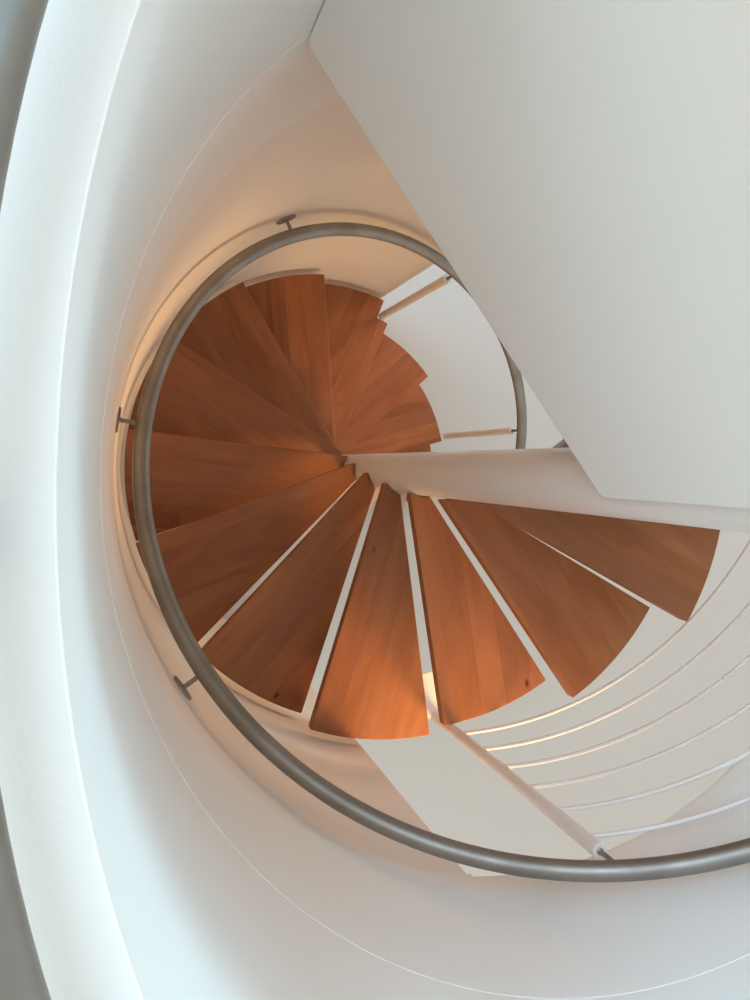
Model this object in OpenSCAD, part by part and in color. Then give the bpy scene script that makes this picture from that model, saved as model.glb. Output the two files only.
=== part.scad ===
// Spiral staircase: wooden wedge treads on a white steel column, rising anticlockwise
// inside a round stairwell. Millimetres, Z up, column axis on the Z axis, lower floor at Z = 0.

/* [Storey] */
// number of risers from the lower floor to the landing
risers = 18; // [12:1:22]
// height of one riser
riser = 190; // [150:1:220]
// turn from one tread to the next, degrees
turn = 26.4; // [20:0.1:36]
// direction of the lowest tread's front edge, degrees
start_dir = -11.6; // [-180:0.1:180]

/* [Column] */
// outer diameter of the column tube
column_d = 133; // [90:1:220]
// wall thickness of the column tube
column_t = 5; // [3:0.5:12]
// top of the column above the landing
column_rise = 900; // [600:10:1200]
// thickness of the closing cap
cap_t = 6; // [3:1:20]
// diameter of the foot plate
foot_d = 300; // [200:5:500]
// thickness of the foot plate
foot_t = 12; // [6:1:30]
// circle of the anchor holes in the foot plate
anchor_pcd = 240; // [160:5:440]
// diameter of an anchor hole
anchor_d = 14; // [8:1:24]

/* [Treads] */
// gap between the round wall and the ends of the treads beside it
wall_gap = 27; // [5:1:60]
// distance from the handrail's circle to the ends of the open-side treads
end_gap = 49; // [30:1:80]
// thickness of a tread
tread_t = 38; // [25:1:60]
// gap between a tread's inner end and the column
column_gap = 4; // [1:0.5:20]
// distance of the front edge from the radial line
front_shift = 54; // [0:1:90]
// distance of the back edge from the radial line, at the column
back_shift = 23; // [0:1:60]
// lean of the back edge, which makes the treads narrower outwards, degrees
back_lean = 1.4; // [0:0.1:4]
// angle past the front corner at which a cut-back tread widens, degrees
notch_turn = 4.2; // [2:0.1:10]

/* [Tread arms] */
// distance from an arm's tip to the end of an open-side tread
arm_set_back = 148; // [70:1:300]
// width of the arm's plate at the column
arm_w = 90; // [40:1:120]
// width of the arm's plate at its tip
arm_tip_w = 40; // [20:1:80]
// thickness of the arm's plate
arm_t = 6; // [4:0.5:15]
// depth of the arm's rib at the column
rib_h = 60; // [20:1:120]
// depth of the arm's rib at its tip
rib_tip_h = 14; // [6:1:40]
// thickness of the arm's rib
rib_t = 6; // [4:0.5:15]

/* [Stairwell] */
// inner radius of the round wall
well_r = 907; // [650:1:1300]
// thickness of the wall and parapet
wall_t = 110; // [60:1:250]
// clearance between pieces that fit together on a curve
fit_gap = 0.3; // [0.1:0.1:1]
// thickness of the upper floor's edge ring
floor_t = 442; // [150:1:600]
// height of the joint line above the upper floor
joint_h = 25; // [0:1:200]
// height of the parapet above the upper floor
parapet_h = 812; // [600:1:1100]
// direction at which the lower wall starts, degrees
wall_dir_1 = 67.5; // [0:0.5:180]
// direction at which the lower wall ends, degrees
wall_dir_2 = 261.5; // [180:0.5:359]
// direction of the parapet's end at the landing's front, degrees
exit_dir_1 = 77; // [0:0.5:180]
// direction of the parapet's end at the landing panel, degrees
exit_dir_2 = 129; // [90:0.5:200]

/* [Landing panel] */
// direction in which the panel runs out from the column, degrees
panel_dir = 126.5; // [90:0.5:180]
// distance of the panel's outer face from the axis
panel_shift = 73; // [60:1:120]
// thickness of the panel
panel_t = 25; // [10:1:60]
// distance of the panel's inner end from the foot of the axis
panel_start = 21.6; // [0:0.5:80]
// lower edge of the panel, below the upper floor
panel_drop = 8; // [0:1:60]

/* [Handrail] */
// outer diameter of the handrail tube
rail_d = 44; // [30:0.5:60]
// distance of the handrail's centre from the round wall
rail_gap = 70; // [45:1:120]
// height of the handrail's centre above the tread fronts
rail_h = 878; // [700:1:1100]
// direction of the handrail's lower end, degrees
rail_dir_1 = 3; // [-40:0.5:60]
// direction of the handrail's upper end past a full turn, degrees
rail_dir_2 = 70; // [0:0.5:120]
// thickness of the closing discs
end_t = 3; // [1:0.5:10]

/* [Wall brackets] */
// diameter of the wall disc
disc_d = 70; // [40:1:90]
// thickness of the wall disc
disc_t = 6; // [3:0.5:12]
// diameter of the bracket rod
arm_rod_d = 12; // [8:0.5:20]
// distance of the bracket rod below the handrail's centre
bracket_drop = 55; // [30:1:120]

/* [Posts and rods] */
// diameter of a post
post_d = 36; // [20:0.5:60]
// length of the pin between post and handrail
pin_l = 70; // [20:1:150]
// diameter of the pin
pin_d = 12; // [6:0.5:20]
// thickness of the post's cap
post_cap_t = 5; // [2:0.5:20]
// angle of a post past the tread's front corner, degrees
post_turn = 1.4; // [0:0.1:8]
// further turn of the third post, which clears the tread below
post_3_turn = 2.5; // [0:0.1:6]
// length of a post below its tread's top
post_drop = 110; // [40:1:300]
// number of filling rods
rods = 6; // [1:1:10]
// diameter of a filling rod
rod_d = 12; // [6:0.5:20]
// distance of the top rod below the handrail's centre
rod_first = 170; // [80:1:300]
// distance between filling rods
rod_pitch = 155; // [80:1:250]
// width of the lugs that hold the posts
lug_w = 30; // [15:1:60]
// thickness of the lugs
lug_t = 6; // [3:0.5:12]
// length of a lug under its tread
lug_grip = 60; // [20:1:150]
// length and width of the plate that holds the third post
post_plate_l = 156; // [60:1:190]
post_plate_w = 92; // [60:1:140]

/* [Guard rail] */
// height of the guard rail's centre above the parapet
guard_rise = 56; // [40:1:150]
// number of guard rail supports
guard_supports = 8; // [4:1:16]
// diameter of a support's foot disc
support_disc_d = 50; // [30:1:80]
// distance of the guard rail's ends from the parapet's ends, degrees
guard_end_turn = 3; // [0:0.5:15]
// distance of the outermost supports from the parapet's ends, degrees
support_end_turn = 10; // [4:0.5:30]

/* [Hidden] */
$fn = 96;
// facets of the round wall
wall_fn = 180;
full_turn = 360;
// length by which a cutting body passes the face that it cuts
over = 1;
// reach of the bodies that cut the plan, past everything else
far = 3 * (well_r + wall_t);
// step along a rail or rod in degrees, and sides of its section
rail_step = 4;
rail_sides = 20;
rod_step = 5;
rod_sides = 8;
// taper of a post's cap
cap_taper = 6;
column_r = column_d / 2;
floor_z = risers * riser;
tread_count = risers - 1;
inner_r = column_r + column_gap;
wall_r = well_r + wall_t;
rail_r = well_r - rail_gap;
tread_r_wall = well_r - wall_gap;
tread_r_open = rail_r - end_gap;
arm_reach = tread_r_open - arm_set_back;
guard_r = well_r + wall_t / 2;
slab_z = floor_z - floor_t;
joint_z = floor_z + joint_h;
parapet_z = floor_z + parapet_h;
column_z = floor_z + column_rise;
guard_z = parapet_z + guard_rise;
// direction of a tread's front edge and height of its top, counted from the lowest tread
function tread_dir(i) = start_dir + (i - 1) * turn;
function tread_z(i) = i * riser;
// direction of the front corner on the handrail's circle
function corner_dir(i) = tread_dir(i) - asin(front_shift / tread_r_open);
// height of the handrail's centre at a direction
function rail_z(a) = riser + rail_h + (a - corner_dir(1)) / turn * riser;
rail_slope = riser / (turn * PI / 180);
// treads that carry a post, and the directions of the posts
post_treads = [2, 4, 12, 16];
function post_dir(n) = corner_dir(post_treads[n]) + post_turn + (n == 2 ? post_3_turn : 0);
function post_top(n) = rail_z(post_dir(n)) - rail_d / 2 - pin_l;
bracket_dirs = [113.5, 170.5, 214, 405, 425];
wall_treads = [4, 5, 6, 7, 8, 9, 10, 11, 16, 17];
notched = [4, 16];
rail_to = full_turn + rail_dir_2;

// full turns of the stair up to the landing, in degrees
whole_turns = full_turn * round((tread_dir(risers) + turn - panel_dir) / full_turn);
// number of pieces of the lower wall, and of the parapet
wall_count = 4;
// number of pieces of the floor's edge beside the one at the exit
edge_count = 3;
// a flat disc touches the round wall at its two sides
disc_seat = sqrt(well_r * well_r - disc_d * disc_d / 4);
rod_inset = asin((post_d / 2 + rod_d / 4 + fit_gap) / rail_r);

// wedge of the plan between two directions, out to a long radius
module sector(a0, a1) {
  steps = ceil((a1 - a0) / 40);
  polygon(concat([[0, 0]],
    [for (i = [0:steps]) let (a = a0 + (a1 - a0) * i / steps) [far * cos(a), far * sin(a)]]));
}

// plan of a tread: front edge at direction a, back edge one width further
module tread_plan(a, width, r, gap) {
  difference() {
    circle(r = r);
    circle(r = gap);
    rotate(a) translate([-far, -far - front_shift]) square([2 * far, far]);
    rotate(a + width) translate([0, -back_shift]) rotate(-back_lean) translate([-far, 0])
      square([2 * far, far]);
    rotate(a + width / 2) translate([-2 * far, -far]) square([2 * far, 2 * far]);
  }
}

module tread(i) {
  a = tread_dir(i);
  wide = len(search(i, wall_treads)) > 0;
  cut = len(search(i, notched)) > 0;
  color("#7a4326")
  translate([0, 0, tread_z(i) - tread_t])
  linear_extrude(tread_t)
  difference() {
    tread_plan(a, turn, wide ? tread_r_wall : tread_r_open, inner_r);
    if (cut) difference() {
      sector(a - 30, corner_dir(i) + notch_turn);
      circle(r = tread_r_open);
    }
  }
}

// tube that follows the stair's helix
module helix_tube(r, d, a0, a1, drop, step, sides) {
  n = ceil((a1 - a0) / step);
  s = sqrt(r * r + rail_slope * rail_slope);
  pts = [for (i = [0:n]) let (a = a0 + (a1 - a0) * i / n)
    for (j = [0:sides - 1])
      let (t = full_turn * j / sides, u = d / 2 * cos(t), w = d / 2 * sin(t))
      [(r + u) * cos(a) + w * rail_slope / s * sin(a),
       (r + u) * sin(a) - w * rail_slope / s * cos(a),
       rail_z(a) - drop + w * r / s]];
  skin = [for (i = [0:n - 1]) for (j = [0:sides - 1])
    let (k = (j + 1) % sides, p = i * sides + j, q = i * sides + k)
    for (f = [[p, p + sides, q + sides], [p, q + sides, q]]) f];
  first = [[for (j = [0:sides - 1]) j]];
  last = [[for (j = [0:sides - 1]) n * sides + sides - 1 - j]];
  polyhedron(points = pts, faces = concat(skin, first, last), convexity = 10);
}

// frame at a point of the handrail, X outward and Z along the tube
module on_rail(a, r, drop) {
  translate([r * cos(a), r * sin(a), rail_z(a) - drop])
  rotate([0, 0, a])
  rotate([-90 + atan2(rail_slope, r), 0, 0]) children();
}

module column() {
  color("#eef0f0")
  translate([0, 0, foot_t])
  difference() {
    cylinder(d = column_d, h = column_z - foot_t);
    translate([0, 0, -over]) cylinder(d = column_d - 2 * column_t, h = column_z + 2 * over);
  }
}

module column_cap() {
  color("#e4e6e6")
  translate([0, 0, column_z]) cylinder(d = column_d, h = cap_t);
}

module foot_plate() {
  color("#e4e6e6")
  difference() {
    cylinder(d = foot_d, h = foot_t);
    for (a = [45:90:315]) rotate(a) translate([anchor_pcd / 2, 0, -over])
      cylinder(d = anchor_d, h = foot_t + 2 * over);
  }
}

module tread_arm(a, z) {
  root = column_r - over;
  plate = [[root, arm_w / 2], [root, -arm_w / 2],
    [arm_reach, -arm_tip_w / 2], [arm_reach, arm_tip_w / 2]];
  rib = [[root, 0], [arm_reach, 0], [arm_reach, -rib_tip_h], [root, -rib_h]];
  mid = (front_shift + back_shift) / 2;
  difference() {
    translate([0, 0, z]) rotate(a + (turn - back_lean) / 2) translate([0, -mid / 2, 0])
    union() {
      translate([0, 0, -arm_t]) linear_extrude(arm_t) polygon(plate);
      translate([0, rib_t / 2, 0]) rotate([90, 0, 0]) linear_extrude(rib_t) polygon(rib);
    }
    translate([0, 0, z - 2 * rib_h]) cylinder(r = column_r, h = 3 * rib_h);
  }
}

module tread_arms() {
  color("#e4e6e6")
  for (i = [1:tread_count + 1])
    tread_arm(tread_dir(i) + (i > tread_count ? turn / 2 : 0), tread_z(i) - tread_t);
}

module landing() {
  a = tread_dir(risers) - whole_turns;
  color("#7a4326")
  translate([0, 0, floor_z - tread_t])
  linear_extrude(tread_t)
  difference() {
    circle(r = well_r - fit_gap, $fn = wall_fn);
    circle(r = inner_r);
    rotate(a) translate([-far, -far - front_shift]) square([2 * far, far]);
    rotate(panel_dir) translate([-far, panel_shift - panel_t]) square([2 * far, far]);
    rotate((a + panel_dir) / 2) translate([-2 * far, -far]) square([2 * far, 2 * far]);
  }
}

// piece n of a ring that runs between two directions in so many parts
module ring_part(n, parts, a0, a1, r0, r1, z0, z1) {
  step = (a1 - a0) / parts;
  translate([0, 0, z0])
  linear_extrude(z1 - z0)
  intersection() {
    difference() {
      circle(r = r1, $fn = wall_fn);
      circle(r = r0, $fn = wall_fn);
    }
    sector(a0 + (n - 1) * step, a0 + n * step);
  }
}

module wall(n) {
  color("#e8e2da") ring_part(n, wall_count, wall_dir_1, wall_dir_2, well_r, wall_r, 0, slab_z);
}

// the first piece lies at the exit, the others carry the parapet
module floor_edge(n) {
  color("#eceae6")
  if (n == 1) ring_part(1, 1, exit_dir_1, exit_dir_2, well_r, wall_r, slab_z, floor_z);
  else ring_part(n - 1, edge_count, exit_dir_2, full_turn + exit_dir_1, well_r, wall_r, slab_z, floor_z);
}

module parapet_foot() {
  color("#eceae6")
  for (n = [1:wall_count])
    ring_part(n, wall_count, exit_dir_2, full_turn + exit_dir_1, well_r, wall_r, floor_z, joint_z);
}

module parapet(n) {
  color("#f0efec")
  ring_part(n, wall_count, exit_dir_2, full_turn + exit_dir_1, well_r, wall_r, joint_z, parapet_z);
}

module landing_panel() {
  color("#f2f3f3")
  difference() {
    intersection() {
      rotate(panel_dir) translate([panel_start, panel_shift - panel_t, floor_z - panel_drop])
        cube([wall_r, panel_t, parapet_h + panel_drop]);
      cylinder(r = well_r - fit_gap, h = parapet_z + over, $fn = wall_fn);
    }
    cylinder(r = column_r + fit_gap, h = parapet_z + over);
  }
}

module handrail() {
  color("#8f8d84") helix_tube(rail_r, rail_d, rail_dir_1, rail_to, 0, rail_step, rail_sides);
}

module handrail_ends() {
  color("#8f8d84") {
    on_rail(rail_dir_1, rail_r, 0) translate([0, 0, -end_t]) cylinder(d = rail_d, h = end_t);
    on_rail(rail_to, rail_r, 0) cylinder(d = rail_d, h = end_t);
  }
}

// cuts the handrail's place out of the pieces that carry it
module under_rail(a) {
  difference() {
    children();
    on_rail(a, rail_r, 0) cylinder(d = rail_d + fit_gap, h = 3 * rail_d, center = true);
  }
}

module wall_bracket(a) {
  z = rail_z(a) - bracket_drop;
  under_rail(a) rotate(a) {
    translate([disc_seat - disc_t, 0, z]) rotate([0, 90, 0]) cylinder(d = disc_d, h = disc_t);
    translate([rail_r, 0, z]) rotate([0, 90, 0])
      cylinder(d = arm_rod_d, h = disc_seat - disc_t / 2 - rail_r);
    translate([rail_r, 0, z]) sphere(d = arm_rod_d, $fn = 32);
    translate([rail_r, 0, z]) cylinder(d = arm_rod_d, h = bracket_drop - rail_d / 4);
  }
}

module wall_brackets() {
  color("#8f8d84") for (a = bracket_dirs) wall_bracket(a);
}

module posts() {
  color("#eef0f0")
  for (n = [0:3]) {
    foot = tread_z(post_treads[n]) - post_drop - (n == 2 ? riser : 0);
    rotate(post_dir(n)) translate([rail_r, 0, foot])
      cylinder(d = post_d, h = post_top(n) - post_cap_t - foot);
  }
}

module post_caps() {
  color("#f4f5f5")
  for (n = [0:3]) rotate(post_dir(n)) translate([rail_r, 0, post_top(n) - post_cap_t])
    cylinder(d1 = post_d, d2 = post_d - cap_taper, h = post_cap_t);
}

module rail_pins() {
  color("#8f8d84")
  for (n = [0:3]) under_rail(post_dir(n)) rotate(post_dir(n))
    translate([rail_r, 0, post_top(n)]) cylinder(d = pin_d, h = pin_l + rail_d / 4);
}

// flat bar from a post to the underside of its tread
module post_lug(n) {
  translate([0, 0, tread_z(post_treads[n]) - tread_t - lug_t]) rotate(post_dir(n))
  difference() {
    translate([tread_r_open - lug_grip, -lug_w / 2, 0])
      cube([rail_r - tread_r_open + lug_grip, lug_w, lug_t]);
    translate([rail_r, 0, -over]) cylinder(d = post_d, h = lug_t + 2 * over);
  }
}

// plate under the back corner of the tread below, which holds the third post
module post_plate() {
  z = tread_z(post_treads[2] - 1) - tread_t - lug_t;
  translate([0, 0, z]) rotate(post_dir(2)) translate([rail_r, 0, 0])
  difference() {
    translate([-post_plate_l, lug_w / 2 - post_plate_w, 0]) cube([post_plate_l, post_plate_w, lug_t]);
    translate([0, 0, -over]) cylinder(d = post_d, h = lug_t + 2 * over);
  }
}

module post_lugs() {
  color("#eef0f0") {
    for (n = [0, 1, 3]) post_lug(n);
    post_plate();
  }
}

module filling_rods() {
  color("#eef0f0")
  for (i = [0:rods - 1])
    helix_tube(rail_r, rod_d, post_dir(2) + rod_inset, post_dir(3) - rod_inset,
      rod_first + i * rod_pitch, rod_step, rod_sides);
}

module guard_rail() {
  span = full_turn + exit_dir_1 - exit_dir_2 - 2 * guard_end_turn;
  color("#8f8d84")
  translate([0, 0, guard_z]) rotate(exit_dir_2 + guard_end_turn)
  rotate_extrude(angle = span) translate([guard_r, 0]) circle(d = rail_d);
}

module guard_supports() {
  span = full_turn + exit_dir_1 - exit_dir_2 - 2 * support_end_turn;
  color("#8f8d84")
  for (i = [0:guard_supports - 1])
  rotate(exit_dir_2 + support_end_turn + span * i / (guard_supports - 1)) {
    translate([guard_r, 0, parapet_z]) cylinder(d = support_disc_d, h = disc_t);
    difference() {
      translate([guard_r, 0, parapet_z + disc_t / 2])
        cylinder(d = pin_d, h = guard_rise - disc_t / 2);
      translate([guard_r, 0, guard_z]) rotate([90, 0, 0])
        cylinder(d = rail_d + fit_gap, h = 3 * pin_d, center = true);
    }
  }
}

column();
column_cap();
foot_plate();
tread_arms();
tread(1);  // tread_01
tread(2);  // tread_02
tread(3);  // tread_03
tread(4);  // tread_04
tread(5);  // tread_05
tread(6);  // tread_06
tread(7);  // tread_07
tread(8);  // tread_08
tread(9);  // tread_09
tread(10);  // tread_10
tread(11);  // tread_11
tread(12);  // tread_12
tread(13);  // tread_13
tread(14);  // tread_14
tread(15);  // tread_15
tread(16);  // tread_16
tread(17);  // tread_17
landing();
wall(1);  // wall_1
wall(2);  // wall_2
wall(3);  // wall_3
wall(4);  // wall_4
floor_edge(1);  // floor_edge_1
floor_edge(2);  // floor_edge_2
floor_edge(3);  // floor_edge_3
floor_edge(4);  // floor_edge_4
parapet_foot();
parapet(1);  // parapet_1
parapet(2);  // parapet_2
parapet(3);  // parapet_3
parapet(4);  // parapet_4
landing_panel();
handrail();
handrail_ends();
wall_brackets();
posts();
post_caps();
rail_pins();
post_lugs();
filling_rods();
guard_rail();
guard_supports();
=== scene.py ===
"""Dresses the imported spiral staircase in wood, plaster, white lacquer and satin metal.

Lengths are in metres and angles in degrees. The column's axis is the Z axis and the lower
floor lies at Z = 0. Directions are measured anticlockwise from +X, as seen from above.
"""

import logging
import math
from dataclasses import dataclass
from enum import Enum

import bpy
import numpy as np
from mathutils import Matrix


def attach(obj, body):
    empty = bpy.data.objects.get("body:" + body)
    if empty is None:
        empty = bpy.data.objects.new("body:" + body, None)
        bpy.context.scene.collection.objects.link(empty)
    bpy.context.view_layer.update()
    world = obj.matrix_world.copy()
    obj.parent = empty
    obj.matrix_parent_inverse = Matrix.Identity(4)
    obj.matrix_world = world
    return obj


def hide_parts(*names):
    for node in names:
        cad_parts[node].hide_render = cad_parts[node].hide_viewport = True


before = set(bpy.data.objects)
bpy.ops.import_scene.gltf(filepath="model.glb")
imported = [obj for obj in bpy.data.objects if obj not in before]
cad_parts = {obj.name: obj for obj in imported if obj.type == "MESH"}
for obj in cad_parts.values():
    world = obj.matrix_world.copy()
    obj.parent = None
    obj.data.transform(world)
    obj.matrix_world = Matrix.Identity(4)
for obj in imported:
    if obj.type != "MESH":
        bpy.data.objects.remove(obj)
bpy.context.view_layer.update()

logging.basicConfig(level=logging.INFO, format="%(message)s")
log = logging.getLogger("spiral_staircase")

Triple = tuple[float, float, float]

BODY = "root"
SHARP_ANGLE = 38.0


class Slot(Enum):
    """The record's material slots."""

    TREAD = "tread_wood"
    WALL = "wall_plaster"
    PARAPET = "parapet_plaster"
    PANEL = "white_panel"
    STEEL = "white_steel"
    SATIN = "satin_metal"


class Link:
    """A node's output socket, with Python's arithmetic building Math nodes."""

    def __init__(self, recipe: "Recipe", socket: bpy.types.NodeSocket | None) -> None:
        """Wraps one socket of a recipe's node tree."""
        self.recipe = recipe
        self.socket = socket

    def math(self, operation: str, *values: "Link | float") -> "Link":
        """Adds a Math node.

        Args:
            operation: the node's operation.
            values: its inputs, in order.

        Returns:
            The node's result.
        """
        inputs = dict(enumerate(values))
        return self.recipe.node("ShaderNodeMath", {"operation": operation}, inputs)

    def __add__(self, other: "Link | float") -> "Link":
        """Sum."""
        return self.math("ADD", self, other)

    def __radd__(self, other: "Link | float") -> "Link":
        """Sum with a number on the left."""
        return self.math("ADD", other, self)

    def __sub__(self, other: "Link | float") -> "Link":
        """Difference."""
        return self.math("SUBTRACT", self, other)

    def __rsub__(self, other: "Link | float") -> "Link":
        """Difference with a number on the left."""
        return self.math("SUBTRACT", other, self)

    def __mul__(self, other: "Link | float") -> "Link":
        """Product."""
        return self.math("MULTIPLY", self, other)

    def __rmul__(self, other: "Link | float") -> "Link":
        """Product with a number on the left."""
        return self.math("MULTIPLY", other, self)

    def __truediv__(self, other: "Link | float") -> "Link":
        """Quotient."""
        return self.math("DIVIDE", self, other)

    def __rtruediv__(self, other: "Link | float") -> "Link":
        """Quotient with a number on the left."""
        return self.math("DIVIDE", other, self)

    def __gt__(self, other: "Link | float") -> "Link":
        """1 where this is greater, else 0."""
        return self.math("GREATER_THAN", self, other)

    def __lt__(self, other: "Link | float") -> "Link":
        """1 where this is less, else 0, which is also the reflected form of greater."""
        return self.math("LESS_THAN", self, other)

    def floor(self) -> "Link":
        """The whole number below."""
        return self.math("FLOOR", self)

    def fraction(self) -> "Link":
        """The part after the point."""
        return self.math("FRACT", self)

    def clamp(self, low: float, high: float) -> "Link":
        """Maps low..high to 0..1 with soft ends.

        Args:
            low: value that becomes 0.
            high: value that becomes 1.

        Returns:
            The mapped value.
        """
        values = {"Value": self, "From Min": low, "From Max": high}
        settings = {"interpolation_type": "SMOOTHSTEP"}
        return self.recipe.node("ShaderNodeMapRange", settings, values)


class Recipe:
    """The node tree of one material, or of the world."""

    def __init__(self, name: str, world: bool = False) -> None:
        """Starts an empty node tree.

        Args:
            name: the material's name.
            world: makes a world in place of a material.
        """
        self.owner = (bpy.data.worlds if world else bpy.data.materials).new(name)
        self.owner.use_nodes = True
        self.tree = self.owner.node_tree
        self.tree.nodes.clear()

    def node(self, kind: str, settings: dict | None = None, inputs: dict | None = None,
             output: int = 0) -> Link:
        """Adds a node: its settings first, then the values or links of its sockets.

        Args:
            kind: the node's type.
            settings: properties, with a ramp's stops under "stops".
            inputs: values or links by socket name or number.
            output: number of the output to return.

        Returns:
            The chosen output.
        """
        made = self.tree.nodes.new(kind)
        for key, value in (settings or {}).items():
            if key == "stops":
                self._stops(made.color_ramp, value)
            else:
                setattr(made, key, value)
        for key, value in (inputs or {}).items():
            if isinstance(value, Link):
                self.tree.links.new(value.socket, made.inputs[key])
            else:
                made.inputs[key].default_value = value
        return Link(self, made.outputs[output] if made.outputs else None)

    @staticmethod
    def _stops(ramp: bpy.types.ColorRamp, stops: list[tuple]) -> None:
        """Sets a ramp's stops.

        Args:
            ramp: the ramp.
            stops: a place and a colour for each stop.
        """
        while len(ramp.elements) < len(stops):
            ramp.elements.new(1.0)
        for element, (place, colour) in zip(ramp.elements, stops):
            element.position = place
            element.color = (*colour, 1.0)

    def place(self) -> Link:
        """Object coordinates."""
        return self.node("ShaderNodeTexCoord", output=3)

    def attribute(self, name: str) -> Link:
        """The vector that the mesh holds under a name."""
        return self.node("ShaderNodeAttribute", {"attribute_name": name}, output=1)

    def scaled(self, vector: Link, factors: Triple) -> Link:
        """A vector with each axis multiplied by its factor."""
        return self.node("ShaderNodeVectorMath", {"operation": "MULTIPLY"}, {0: vector, 1: factors})

    def axes(self, vector: Link) -> tuple[Link, Link, Link]:
        """The three numbers of a vector.

        Args:
            vector: the vector.

        Returns:
            Its x, y and z.
        """
        first = self.node("ShaderNodeSeparateXYZ", inputs={0: vector})
        outputs = first.socket.node.outputs
        return first, Link(self, outputs[1]), Link(self, outputs[2])

    def joined(self, x: Link | float, y: Link | float, z: Link | float) -> Link:
        """A vector from three numbers."""
        return self.node("ShaderNodeCombineXYZ", inputs={0: x, 1: y, 2: z})

    def noise(self, vector: Link, scale: float = 1.0, detail: float = 3.0, rough: float = 0.5,
              twist: float = 0.0) -> Link:
        """Soft noise between about 0.2 and 0.8.

        Args:
            vector: where to read it.
            scale: bumps per metre of the vector.
            detail: number of finer layers.
            rough: strength of the finer layers.
            twist: distortion.

        Returns:
            The noise value.
        """
        inputs = {"Vector": vector, "Scale": scale, "Detail": detail, "Roughness": rough,
                  "Distortion": twist}
        return self.node("ShaderNodeTexNoise", inputs=inputs)

    def chance(self, x: Link, y: Link | float = 0.0) -> Link:
        """A random number from 0 to 1 for each pair of whole numbers."""
        vector = self.joined(x, y, 0.0)
        return self.node("ShaderNodeTexWhiteNoise", {"noise_dimensions": "2D"}, {"Vector": vector})

    def mix(self, factor: Link | float, first: "Link | tuple", second: "Link | tuple") -> Link:
        """A colour between two colours.

        Args:
            factor: 0 for the first, 1 for the second.
            first: colour or link.
            second: colour or link.

        Returns:
            The mixed colour.
        """
        inputs = {0: factor, 6: self._rgba(first), 7: self._rgba(second)}
        return self.node("ShaderNodeMix", {"data_type": "RGBA"}, inputs, 2)

    @staticmethod
    def _rgba(colour: "Link | tuple") -> "Link | tuple":
        """A colour with its fourth number."""
        return colour if isinstance(colour, Link) else (*colour, 1.0)

    def seen(self) -> Link:
        """1 for what the camera sees, also in a reflection or through glass, 0 for soft light.

        Returns:
            The larger of three Light Path outputs.
        """
        outputs = self.node("ShaderNodeLightPath").socket.node.outputs
        names = ("Is Camera Ray", "Is Glossy Ray", "Is Transmission Ray")
        camera, glossy, clear = (Link(self, outputs[name]) for name in names)
        return camera.math("MAXIMUM", camera, glossy.math("MAXIMUM", glossy, clear))

    def bump(self, height: Link, distance: float) -> Link:
        """A bumped normal.

        Args:
            height: 0 to 1.
            distance: height of 1, in metres.

        Returns:
            The normal.
        """
        inputs = {"Strength": 1.0, "Distance": distance, "Height": height}
        return self.node("ShaderNodeBump", inputs=inputs)

    def finish(self, inputs: dict) -> bpy.types.Material:
        """Closes the recipe with a Principled shader.

        Args:
            inputs: the shader's sockets.

        Returns:
            The material.
        """
        shader = self.node("ShaderNodeBsdfPrincipled", inputs=inputs)
        self.node("ShaderNodeOutputMaterial", inputs={"Surface": shader})
        return self.owner


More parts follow.
